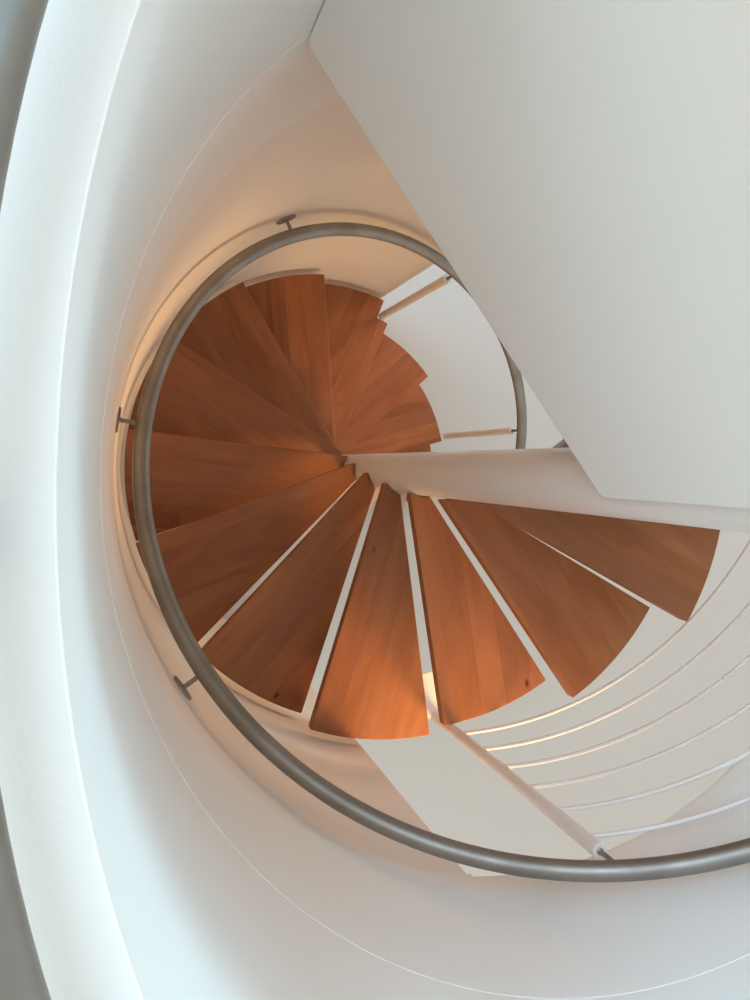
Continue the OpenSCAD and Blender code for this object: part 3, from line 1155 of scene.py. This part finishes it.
@dataclass
class TreadArms(Part):
    """The welded T arms under the treads, with the screws that hold the boards."""

    set_back: float = 0.148
    root_width: float = 0.090
    tip_width: float = 0.040
    plate: float = 0.006
    rib_root: float = 0.060
    rib_tip: float = 0.014
    rib: float = 0.006
    sunk: float = 0.002
    plate_corner: float = 0.006
    plate_edge: float = 0.001
    rib_corner: float = 0.004
    rib_edge: float = 0.0008
    screws: tuple[float, ...] = (0.16, 0.30, 0.45, 0.60)
    screw_side: float = 0.013
    head_down: tuple[float, ...] = (-0.0005, 0.0012, 0.0026, 0.0032)
    head_radii: tuple[float, ...] = (0.0055, 0.0055, 0.0045, 0.0022)

    def place(self, local: np.ndarray, direction: float, level: float) -> np.ndarray:
        """Turns local points (out, left, up) to a direction and lifts them."""
        shift = -(self.storey.front + self.storey.back) / 4
        return turned(local + np.array([0.0, shift, level]), direction)

    def arm(self, solid: Solid, direction: float, level: float) -> None:
        """Adds one arm: plate, rib and screw heads.

        Args:
            solid: takes the arm.
            direction: direction of the arm's middle.
            level: height of the board's underside.
        """
        root, tip = self.storey.column - self.sunk, self.storey.open_radius - self.set_back
        plate = np.array([[root, -self.root_width / 2], [tip, -self.tip_width / 2],
                          [tip, self.tip_width / 2], [root, self.root_width / 2]])
        flat = slab_rings(soften(plate, self.plate_corner), -self.plate, 0.0, self.plate_edge, 0.0)
        solid.add(self.place(flat, direction, level))
        rib = np.array([[root, -self.rib_root], [tip, -self.rib_tip], [tip, 0.0], [root, 0.0]])
        half, edge = self.rib / 2, self.rib_edge
        flat = slab_rings(soften(rib, self.rib_corner), -half, half, edge, edge)
        solid.add(self.place(flat[..., [0, 2, 1]], direction, level))
        heights = -self.plate - np.array(self.head_down)
        for out in self.screws:
            for side in (-self.screw_side, self.screw_side):
                head, _ = upright((out, side), heights, np.array(self.head_radii), 12)
                solid.add(self.place(head, direction, level))

    def build(self) -> None:
        """Makes the arms of all treads and of the landing."""
        s = self.storey
        solid = Solid()
        for number in range(1, s.risers + 1):
            extra = s.turn / 2 if number == s.risers else 0.0
            direction = s.tread_dir(number) + extra + (s.turn - s.lean) / 2
            self.arm(solid, direction, number * s.riser - s.tread)
        self.dress(solid, "tread_arms_welded", Slot.STEEL, "tread_arms")


@dataclass
class Stairwell(Part):
    """The round wall, the upper floor's edge and the parapet."""

    wall_from: float = 67.5
    wall_to: float = 261.5
    edge_depth: float = 0.442
    joint: float = 0.025
    foot_rim: float = 0.0015
    ledge: float = 0.0010
    rim: float = 0.0015
    corner: float = 0.016

    def ring(self, start: float, end: float, inner: float, outer: float) -> np.ndarray:
        """Plan of a piece of ring with softened corners."""
        outline = np.concatenate([arc(outer, start, end), arc(inner, end, start)])
        return soften(outline, self.corner)

    def build(self) -> None:
        """Makes the wall, the floor's edge and the parapet with its foot."""
        s = self.storey
        inner, outer = s.well, s.well + s.wall
        under = s.floor - self.edge_depth
        turn = self.wall_from + 360.0
        wall = Solid()
        wall.add(slab_rings(self.ring(self.wall_from, self.wall_to, inner, outer), 0.0, under))
        self.dress(wall, "stairwell_wall", Slot.WALL, *(f"wall_{n}" for n in range(1, 5)))

        edge = Solid()
        for start, end, corner in ((self.wall_from, self.wall_to, 0.0), (self.wall_to, turn, self.corner)):
            plan = np.concatenate([arc(outer, start, end), arc(inner, end, start)])
            edge.add(slab_rings(plan, under, s.floor, corner, 0.0))
        self.dress(edge, "floor_edge_ring", Slot.PARAPET, *(f"floor_edge_{n}" for n in range(1, 5)))

        foot = Solid()
        span = (s.exit_to, 360.0 + s.exit_from)
        seam = s.floor + self.joint
        foot.add(slab_rings(self.ring(*span, inner, outer), s.floor, seam, 0.0, self.foot_rim))
        self.dress(foot, "parapet_foot_ring", Slot.PARAPET, "parapet_foot")

        parapet = Solid()
        plan = self.ring(*span, inner + self.ledge, outer)
        parapet.add(slab_rings(plan, seam, s.floor + s.parapet_height, 0.0, self.rim))
        self.dress(parapet, "parapet_wall", Slot.PARAPET, *(f"parapet_{n}" for n in range(1, 5)))


@dataclass
class LandingPanel(Part):
    """The white board beside the landing."""

    thickness: float = 0.025
    start: float = 0.0216
    end: float = 0.9035
    drop: float = 0.008
    corner: float = 0.012
    edge: float = 0.002

    def build(self) -> None:
        """Makes the board upright in its own plane, with rounded corners and edges."""
        s = self.storey
        low, high = s.floor - self.drop, s.floor + s.parapet_height
        outline = np.array([[self.start, low], [self.end, low], [self.end, high], [self.start, high]])
        face = s.panel_back + self.thickness
        flat = slab_rings(soften(outline, self.corner), s.panel_back, face, self.edge, self.edge)
        solid = Solid()
        solid.add(turned(flat[..., [0, 2, 1]], s.panel_dir))
        self.dress(solid, "landing_board_panel", Slot.PANEL, "landing_panel")


@dataclass
class Handrail(Part):
    """The helical handrail with its end plates and wall brackets."""

    start: float = 3.0
    end: float = 430.0
    sides: int = 40
    end_plate: float = 0.003
    plate_steps: tuple[float, ...] = (0.0, 0.4, 0.75, 0.93, 1.0, 1.0)
    plate_drops: tuple[float, ...] = (0.0, 0.0, 0.15, 0.45, 0.9, 2.0)
    brackets: tuple[float, ...] = (113.5, 170.5, 214.0, 405.0, 425.0)
    drop: float = 0.055
    rod: float = 0.006
    bend: float = 0.020
    disc: float = 0.035
    disc_depth: float = 0.006
    disc_steps: tuple[float, ...] = (0.0, 0.5, 0.8, 0.95, 1.0, 1.0)
    disc_drops: tuple[float, ...] = (0.0, 0.0, 0.08, 0.25, 0.55, 1.2)
    collar_steps: tuple[float, ...] = (-0.001, 0.001, 0.0025, 0.003)
    collar_wider: tuple[float, ...] = (0.003, 0.003, 0.0018, 0.0)

    def tube(self) -> None:
        """The tube along the helix."""
        path = self.storey.helix(self.start, self.end)
        solid = Solid("run")
        solid.add(*tube_rings(path, self.storey.rail_tube, outward(path), self.sides))
        self.dress(solid, "handrail_tube", Slot.SATIN, "handrail")

    def ends(self) -> None:
        """The two end plates, rounded at their rims."""
        solid = Solid("run")
        steps = self.end_plate * np.array(self.plate_steps)
        radii = self.storey.rail_tube - self.end_plate * np.array(self.plate_drops)
        for angle, way in ((self.start, -1.0), (self.end, 1.0)):
            at = self.storey.helix(angle, angle + 0.1)
            ahead = unit(at[1] - at[0]) * way
            solid.add(*spun(at[0], ahead, steps, radii, self.sides))
        self.dress(solid, "handrail_end_plates", Slot.SATIN, "handrail_ends")

    def bracket(self, solid: Solid, angle: float) -> None:
        """Adds a bracket: a wall disc with its collar and a bent rod up to the tube.

        Args:
            solid: takes the bracket.
            angle: the bracket's direction.
        """
        s = self.storey
        level = s.rail_level(angle) - self.drop
        out = np.array([*polar(1.0, angle), 0.0])
        up = np.array([0.0, 0.0, 1.0])
        seat = math.sqrt(s.well ** 2 - self.disc ** 2)
        turn = np.linspace(0.0, math.pi / 2, 9)
        bend_in = s.rail_radius + self.bend * (1 - np.sin(turn))
        bend_up = level + self.bend * (1 - np.cos(turn))
        top = s.rail_level(angle) - s.rail_tube * 0.9
        radial = np.concatenate([[seat - self.disc_depth / 2], bend_in, [s.rail_radius]])
        heights = np.concatenate([[level], bend_up, [top]])
        path = radial[:, None] * out + heights[:, None] * up
        solid.add(*tube_rings(path, self.rod, np.cross(up, out), 20))
        depth = self.disc_depth
        steps = seat - depth * np.array(self.disc_steps)
        radii = self.disc - depth * np.array(self.disc_drops)
        solid.add(*spun(level * up, out, steps, radii, self.sides))
        steps = seat - depth - np.array(self.collar_steps)
        solid.add(*spun(level * up, out, steps, self.rod + np.array(self.collar_wider), 24))

    def build(self) -> None:
        """Makes the handrail's pieces."""
        self.tube()
        self.ends()
        solid = Solid("run")
        for angle in self.brackets:
            self.bracket(solid, angle)
        self.dress(solid, "handrail_brackets", Slot.SATIN, "wall_brackets")


@dataclass
class Balustrade(Part):
    """Posts with caps, pins and lugs, and the filling rods between them."""

    post: float = 0.018
    cap: float = 0.005
    pin: float = 0.006
    pin_length: float = 0.070
    foot_drop: float = 0.110
    foot_edge: float = 0.002
    cap_steps: tuple[float, ...] = (0.0, 0.25, 0.6, 0.85, 0.97, 1.0, 1.0)
    cap_drops: tuple[float, ...] = (0.0, 0.0, 0.05, 0.22, 0.5, 0.8, 1.4)
    collar_steps: tuple[float, ...] = (0.0, 0.002, 0.003, 0.0035, 0.006)
    collar_wider: tuple[float, ...] = (0.002, 0.002, 0.001, 0.0, 0.0, 0.0)
    rods: int = 6
    rod: float = 0.006
    first_rod: float = 0.170
    pitch: float = 0.155
    lug: float = 0.006
    lug_width: float = 0.030
    lug_corner: float = 0.004
    lug_edge: float = 0.0008
    lug_screws: tuple[float, ...] = (0.014, 0.040)
    grip: float = 0.060
    plate_length: float = 0.156
    plate_width: float = 0.092
    plate_corner: float = 0.0015
    plate_screws: tuple[float, ...] = (0.030, 0.075, 0.120)
    plate_screw_side: float = 0.014
    head_down: tuple[float, ...] = (-0.0005, 0.0015, 0.003, 0.0036)
    head_radii: tuple[float, ...] = (0.0060, 0.0060, 0.0048, 0.0025)

    def post_top(self, index: int) -> float:
        """Height of a post's top."""
        s = self.storey
        return s.rail_level(s.post_dir(index)) - s.rail_tube - self.pin_length

    def posts(self) -> None:
        """The tubes, their caps and the pins under the handrail."""
        s = self.storey
        tubes, caps, pins = Solid(), Solid(), Solid("run")
        for index, tread in enumerate(s.post_treads):
            centre = polar(s.rail_radius, s.post_dir(index))
            foot = tread * s.riser - self.foot_drop - (s.riser if index == 2 else 0.0)
            top = self.post_top(index)
            insets, heights = profile(foot, top - self.cap, self.foot_edge, 0.0)
            tubes.add(*upright(centre, heights, self.post - insets, 48))
            heights = top - self.cap + self.cap * np.array(self.cap_steps)
            caps.add(*upright(centre, heights, self.post - self.cap * np.array(self.cap_drops), 48))
            level = s.rail_level(s.post_dir(index)) - 0.9 * s.rail_tube
            heights = np.concatenate([top + np.array(self.collar_steps), [level]])
            pins.add(*upright(centre, heights, self.pin + np.array(self.collar_wider), 24))
        self.dress(tubes, "post_tubes", Slot.STEEL, "posts")
        self.dress(caps, "post_tops", Slot.STEEL, "post_caps")
        self.dress(pins, "post_pins", Slot.SATIN, "rail_pins")

    def bar(self, solid: Solid, outline: np.ndarray, direction: float, level: float) -> None:
        """Adds a flat bar, its outline given as (out, left) and turned to a direction."""
        edge = self.lug_edge
        solid.add(turned(slab_rings(outline, level, level + self.lug, edge, edge), direction))

    def bolt(self, solid: Solid, out: float, left: float, direction: float, level: float) -> None:
        """Adds a domed screw head under a bar.

        Args:
            solid: takes the head.
            out: distance from the axis, along the bar.
            left: distance to the left of the bar's middle.
            direction: direction of the bar.
            level: height of the bar's underside.
        """
        centre = polar(out, direction) + polar(left, direction + 90.0)
        heights = level - np.array(self.head_down)
        solid.add(*upright(centre, heights, np.array(self.head_radii), 16))

    def lugs(self) -> None:
        """The flat bars and the plate that tie the posts to the treads, with their screws."""
        s = self.storey
        solid = Solid()
        near, far, half = s.open_radius - self.grip, s.rail_radius - self.post * 0.9, self.lug_width / 2
        plan = np.array([[near, -half], [far, -half], [far, half], [near, half]])
        bar = soften(plan, self.lug_corner)
        for index in (0, 1, 3):
            level = s.post_treads[index] * s.riser - s.tread - self.lug
            self.bar(solid, bar, s.post_dir(index), level)
            for out in self.lug_screws:
                self.bolt(solid, near + out, 0.0, s.post_dir(index), level)
        level = (s.post_treads[2] - 1) * s.riser - s.tread - self.lug
        tip, side = s.rail_radius - self.plate_length, half - self.plate_width
        cut = 0.97 * self.post
        rim = arc(cut, 270.0, 180.0 - math.degrees(math.asin(half / cut)), 10.0) + [s.rail_radius, 0.0]
        plate = np.concatenate([[[tip, side], [s.rail_radius, side]], rim, [[tip, half]]])
        self.bar(solid, soften(plate, self.plate_corner), s.post_dir(2), level)
        for out in self.plate_screws:
            self.bolt(solid, tip + out, side + self.plate_screw_side, s.post_dir(2), level)
        self.dress(solid, "post_bars", Slot.STEEL, "post_lugs")

    def filling(self) -> None:
        """The rods that run between the third and fourth posts."""
        s = self.storey
        solid = Solid()
        inset_turn = math.degrees(math.asin((self.post * 0.9) / s.rail_radius))
        for row in range(self.rods):
            path = s.helix(s.post_dir(2) + inset_turn, s.post_dir(3) - inset_turn,
                           self.first_rod + row * self.pitch, 2.0)
            solid.add(tube_rings(path, self.rod, outward(path), 20)[0])
        self.dress(solid, "rods_white", Slot.STEEL, "filling_rods")

    def build(self) -> None:
        """Makes the posts, lugs and rods."""
        self.posts()
        self.lugs()
        self.filling()


@dataclass
class GuardRail(Part):
    """The round rail on top of the parapet with its supports."""

    rise: float = 0.056
    chamfer: float = 0.003
    end_turn: float = 3.0
    step: float = 1.5
    support_turn: float = 10.0
    supports: int = 8
    disc: float = 0.025
    disc_depth: float = 0.006
    disc_edge: float = 0.002
    pin: float = 0.006

    def build(self) -> None:
        """Makes the rail and its supports."""
        s = self.storey
        middle = s.well + s.wall / 2
        top = s.floor + s.parapet_height
        start, end = s.exit_to + self.end_turn, 360.0 + s.exit_from - self.end_turn
        angles = np.arange(start, end + 0.1, self.step)
        plan = polar(middle, angles)
        path = np.concatenate([plan, np.full((len(plan), 1), top + self.rise)], -1)
        path, radii = with_chamfer(path, s.rail_tube, self.chamfer)
        rail = Solid("run")
        rail.add(*tube_rings(path, radii, outward(path), 40))
        self.dress(rail, "guard_rail_tube", Slot.SATIN, "guard_rail")

        solid = Solid("run")
        first = s.exit_to + self.support_turn
        last = 360.0 + s.exit_from - self.support_turn
        for angle in np.linspace(first, last, self.supports):
            centre = polar(middle, angle)
            insets, heights = profile(top, top + self.disc_depth, 0.0, self.disc_edge)
            solid.add(*upright(centre, heights, self.disc - insets, 40))
            heights = top + np.array([self.disc_depth * 0.9, self.rise - s.rail_tube * 0.9])
            solid.add(*upright(centre, heights, self.pin, 24))
        self.dress(solid, "guard_rail_feet", Slot.SATIN, "guard_supports")


@dataclass(frozen=True)
class Lamp:
    """A square area lamp: its place, the point it faces, side in metres, watts, colour and beam.

    The gloss flag says whether it shows in reflections.
    """

    name: str
    at: Triple
    towards: Triple
    size: float
    power: float
    colour: Triple
    spread: float = 180.0
    gloss: bool = True


@dataclass
class Studio:
    """The plain floor, the light and the camera of the photograph."""

    camera_at: Triple = (-0.8699, 0.0372, 4.7336)
    look: Triple = (0.27890, -0.04495, -0.95927)
    right: Triple = (0.96024, 0.0, 0.27918)
    focal_pixels: float = 851.29
    long_side: float = 1000.0
    sensor: float = 36.0
    pale: Triple = (0.56, 0.555, 0.54)
    bounce: Triple = (0.60, 0.315, 0.135)
    backdrop: Triple = (0.68, 0.675, 0.665)
    horizon: Triple = (0.97, 0.72, 0.46)
    zenith: Triple = (0.96, 0.925, 0.85)
    floor_half: float = 12.0
    floor_level: float = -0.0005
    clip_start: float = 0.02
    lamp_right: Triple = (1.0, 0.0, 0.1)
    lamps: tuple[Lamp, ...] = (
        Lamp("key", at=(2.8, 2.8, 7.1), towards=(-0.5, -0.5, 3.7), size=2.2,
             power=48.0, colour=(0.25, 0.66, 1.0)),
        Lamp("side", at=(-3.4, -2.5, 6.8), towards=(0.1, 0.3, 3.9), size=2.2,
             power=27.0, colour=(0.85, 0.95, 0.70)),
        Lamp("left", at=(-3.4, 2.7, 8.8), towards=(-0.9, 0.0, 4.0), size=3.4,
             power=264.0, colour=(0.60, 0.78, 1.0)),
        Lamp("day", at=(6.1, 8.4, 7.6), towards=(-0.5, -0.8, 3.85), size=3.4,
             power=26.5, colour=(0.52, 0.84, 1.0), spread=21.0),
        Lamp("sill", at=(-4.3, 8.1, 8.6), towards=(0.5, -0.9, 3.6), size=2.6,
             power=6.5, colour=(0.45, 0.80, 1.0), spread=21.0),
        Lamp("low", at=(2.8, 0.9, 1.5), towards=(-0.9, -0.2, 2.4), size=1.2,
             power=6.0, colour=(1.0, 0.50, 0.25), spread=64.0, gloss=False),
        Lamp("glow", at=(0.68, -1.67, 2.76), towards=(0.09, -0.76, 2.16), size=0.5,
             power=5.3, colour=(1.0, 0.50, 0.16), spread=56.0),
        Lamp("room", at=(1.75, 1.25, 1.8), towards=(0.42, 0.47, 0.55), size=0.8,
             power=1.6, colour=(1.0, 0.40, 0.08), spread=32.0, gloss=False),
        Lamp("end", at=(0.15, -1.40, 2.75), towards=(-0.18, -0.72, 2.1), size=0.5,
             power=0.5, colour=(1.0, 0.60, 0.30), spread=70.0),
    )

    @staticmethod
    def pose(at: Triple, back: np.ndarray, right: np.ndarray) -> Matrix:
        """Pose of a camera or lamp, which looks along its own -Z.

        Args:
            at: its place.
            back: direction away from what it faces.
            right: direction of its right side, roughly.

        Returns:
            The pose.
        """
        z = unit(back)
        y = unit(np.cross(z, right))
        x = np.cross(y, z)
        rows = np.concatenate([np.stack([x, y, z, np.array(at)], -1), np.eye(4)[3:]])
        return Matrix(rows.tolist())

    def camera(self) -> None:
        """Sets the camera where the photograph was taken."""
        data = bpy.data.cameras.new("camera")
        data.sensor_width = self.sensor
        data.lens = self.focal_pixels / self.long_side * self.sensor
        data.clip_start = self.clip_start
        made = bpy.data.objects.new("camera", data)
        bpy.context.scene.collection.objects.link(made)
        made.matrix_world = self.pose(self.camera_at, -np.array(self.look), np.array(self.right))
        bpy.context.scene.camera = made

    def floor(self) -> None:
        """A wide pale floor, which gives back a warmer and dimmer light than it shows."""
        h, level = self.floor_half, self.floor_level
        mesh = bpy.data.meshes.new("studio_floor")
        corners = [(-h, -h, level), (h, -h, level), (h, h, level), (-h, h, level)]
        mesh.from_pydata(corners, [], [(0, 1, 2, 3)])
        made = bpy.data.objects.new("studio_floor", mesh)
        bpy.context.scene.collection.objects.link(made)
        r = Recipe("studio_floor")
        colour = r.mix(r.seen(), self.bounce, self.pale)
        mesh.materials.append(r.finish({"Base Color": colour, "Roughness": 0.8}))

    def lamp(self, lamp: Lamp) -> None:
        """Hangs up a lamp, which the camera does not see itself.

        Args:
            lamp: its place and its light.
        """
        data = bpy.data.lights.new(lamp.name, "AREA")
        data.shape, data.size = "SQUARE", lamp.size
        data.energy, data.color = lamp.power, lamp.colour
        data.spread = math.radians(lamp.spread)
        made = bpy.data.objects.new(lamp.name, data)
        made.visible_camera = False
        made.visible_glossy = lamp.gloss
        bpy.context.scene.collection.objects.link(made)
        back = np.array(lamp.at) - np.array(lamp.towards)
        made.matrix_world = self.pose(lamp.at, back, np.array(self.lamp_right))

    def sky(self) -> None:
        """Soft light from all round, warmer near the horizon, behind a plain pale backdrop."""
        r = Recipe("studio_sky", world=True)
        _, _, rise = r.axes(r.node("ShaderNodeTexCoord"))
        light = r.mix(rise.clamp(0.0, 0.6), self.horizon, self.zenith)
        colour = r.mix(r.seen(), light, self.backdrop)
        shader = r.node("ShaderNodeBackground", inputs={"Color": colour, "Strength": 1.0})
        r.node("ShaderNodeOutputWorld", inputs={"Surface": shader})
        bpy.context.scene.world = r.owner

    def build(self) -> None:
        """Makes the studio."""
        self.camera()
        self.floor()
        self.sky()
        for lamp in self.lamps:
            self.lamp(lamp)
        bpy.context.scene.view_settings.view_transform = "Standard"


def main() -> None:
    """Builds every piece."""
    storey = Storey()
    finishes = Finishes.make()
    Studio().build()
    for kind in (Treads, Column, TreadArms, Stairwell, LandingPanel, Handrail, Balustrade, GuardRail):
        kind(storey, finishes).build()


if __name__ == "__main__":
    main()
